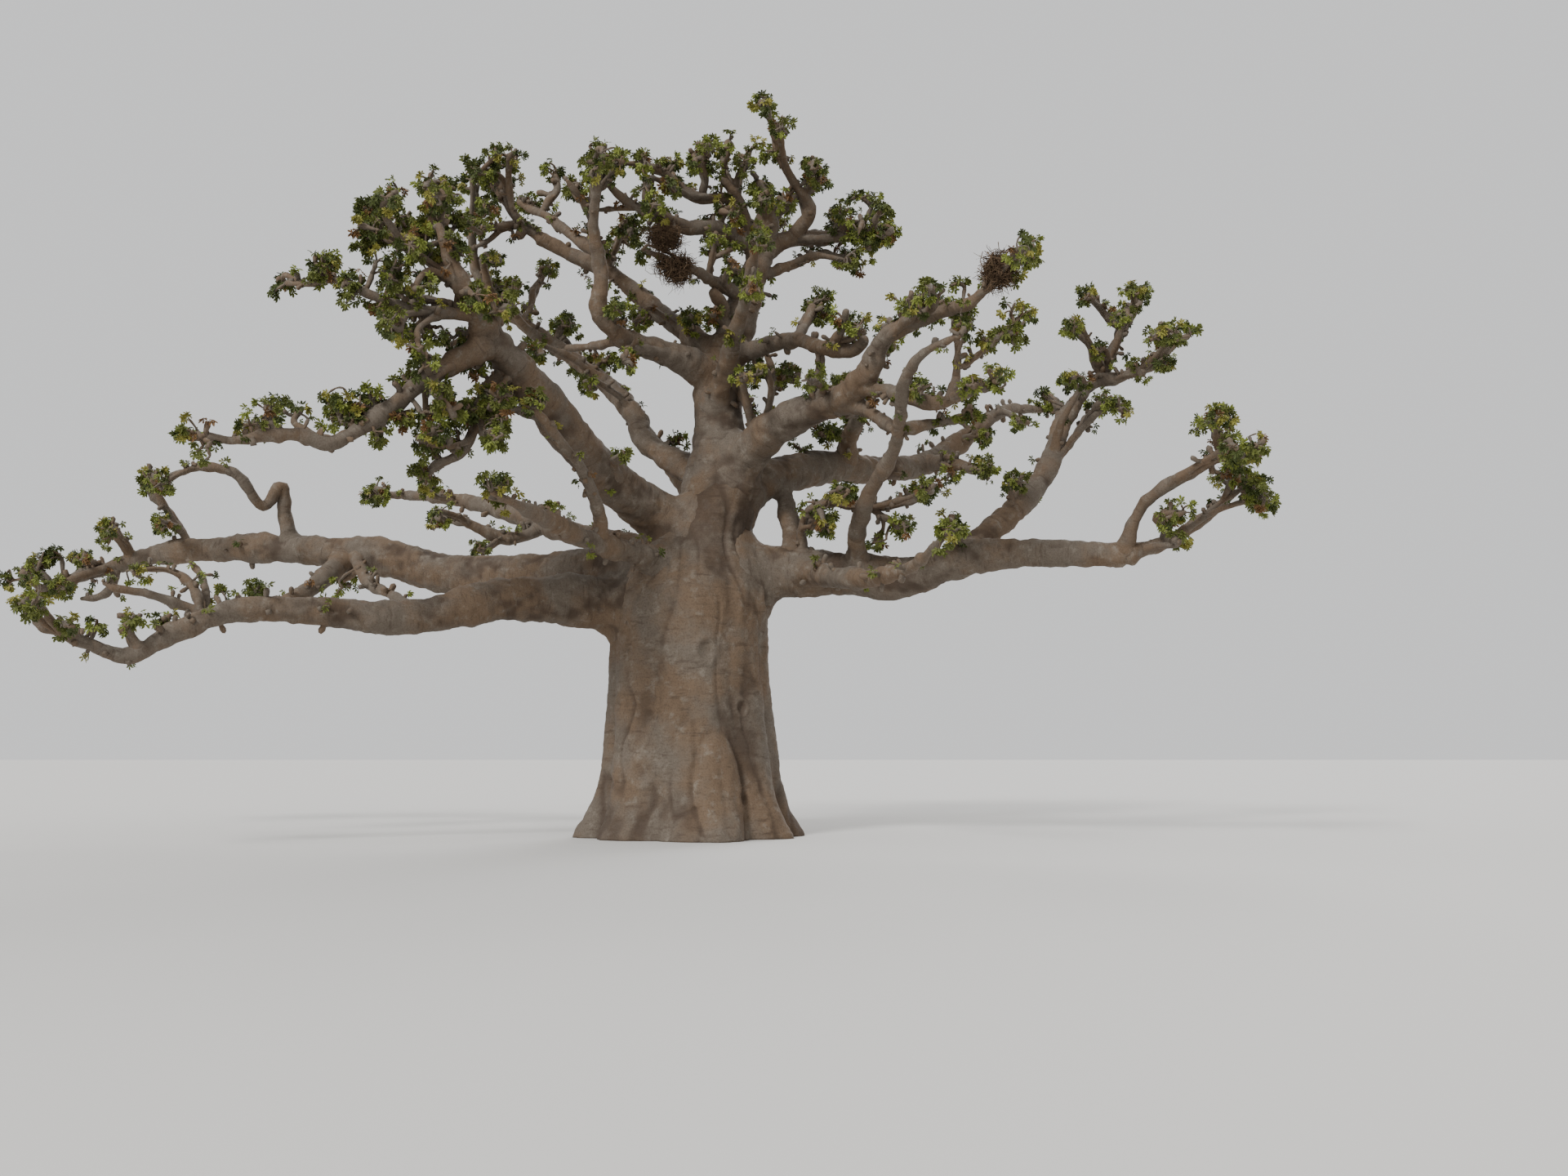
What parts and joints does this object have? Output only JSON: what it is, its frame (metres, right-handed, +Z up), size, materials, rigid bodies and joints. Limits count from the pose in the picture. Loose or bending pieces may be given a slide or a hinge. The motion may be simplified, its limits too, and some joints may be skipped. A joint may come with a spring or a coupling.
{
  "type": "baobab tree",
  "caption": "Mature baobab: stout fluted trunk, wide bare club-ended boughs and small tufts of palmate leaves at the limb tips, rooted at a flat ground cut",
  "frame": {"origin": "Middle of the flat cut under the trunk at ground level, mount ground", "axes": "+Z up along the trunk, +X to the right of the view in the picture, along the long low boughs, +Y away from that view; mount ground faces -Z"},
  "size_m": [24.6617, 14.1056, 14.129],
  "materials": {
    "bark": "smooth grey-brown bark with folds, knuckles and shallow wrinkles",
    "leaves": "olive-green palmate leaves, some yellow-green and some brown",
    "dry_twigs": "tangle of dry brown twigs"
  },
  "bodies": {
    "root": {"trunk": "bark", "centre_column": "bark", "left_low_bough": "bark", "left_high_bough": "bark", "right_low_bough": "bark", "left_great_bough": "bark", "right_great_bough": "bark", "right_middle_bough": "bark", "back_bough": "bark", "left_middle_bough": "bark", "left_front_bough": "bark", "right_front_bough": "bark", "left_inner_bough": "bark", "left_fork_limb": "bark", "crossing_limb": "bark", "top_left_limb": "bark", "top_middle_limb": "bark", "top_right_limb": "bark", "top_spire": "bark", "right_centre_limb": "bark", "left_arm": "bark", "left_up_limb": "bark", "left_out_limb": "bark", "left_crooked_limb": "bark", "right_reach_limb": "bark", "front_rising_limb": "bark", "right_prop_limb": "bark", "right_rising_bough": "bark", "right_head_limb": "bark", "right_side_limb": "bark", "right_end_upper": "bark", "right_end_lower": "bark", "foliage_left_low_tip": "leaves", "foliage_left_high_tip": "leaves", "foliage_left_crook": "leaves", "foliage_arm_tip": "leaves", "foliage_arm_root": "leaves", "foliage_left_droop": "leaves", "foliage_left_out": "leaves", "foliage_left_top": "leaves", "foliage_left_inner_top": "leaves", "foliage_fork_top": "leaves", "foliage_top_middle": "leaves", "foliage_spire": "leaves", "foliage_top_right": "leaves", "twig_tangle_left": "dry_twigs", "foliage_right_crest": "leaves", "foliage_right_ledge": "leaves", "foliage_right_centre": "leaves", "foliage_right_reach": "leaves", "foliage_front_rising": "leaves", "foliage_right_head": "leaves", "foliage_right_side": "leaves", "foliage_right_middle_tip": "leaves", "foliage_right_end_upper": "leaves", "foliage_right_end_lower": "leaves", "foliage_left_middle_tip": "leaves", "foliage_left_front": "leaves", "foliage_right_front": "leaves", "foliage_back": "leaves"}
  },
  "joints": []
}
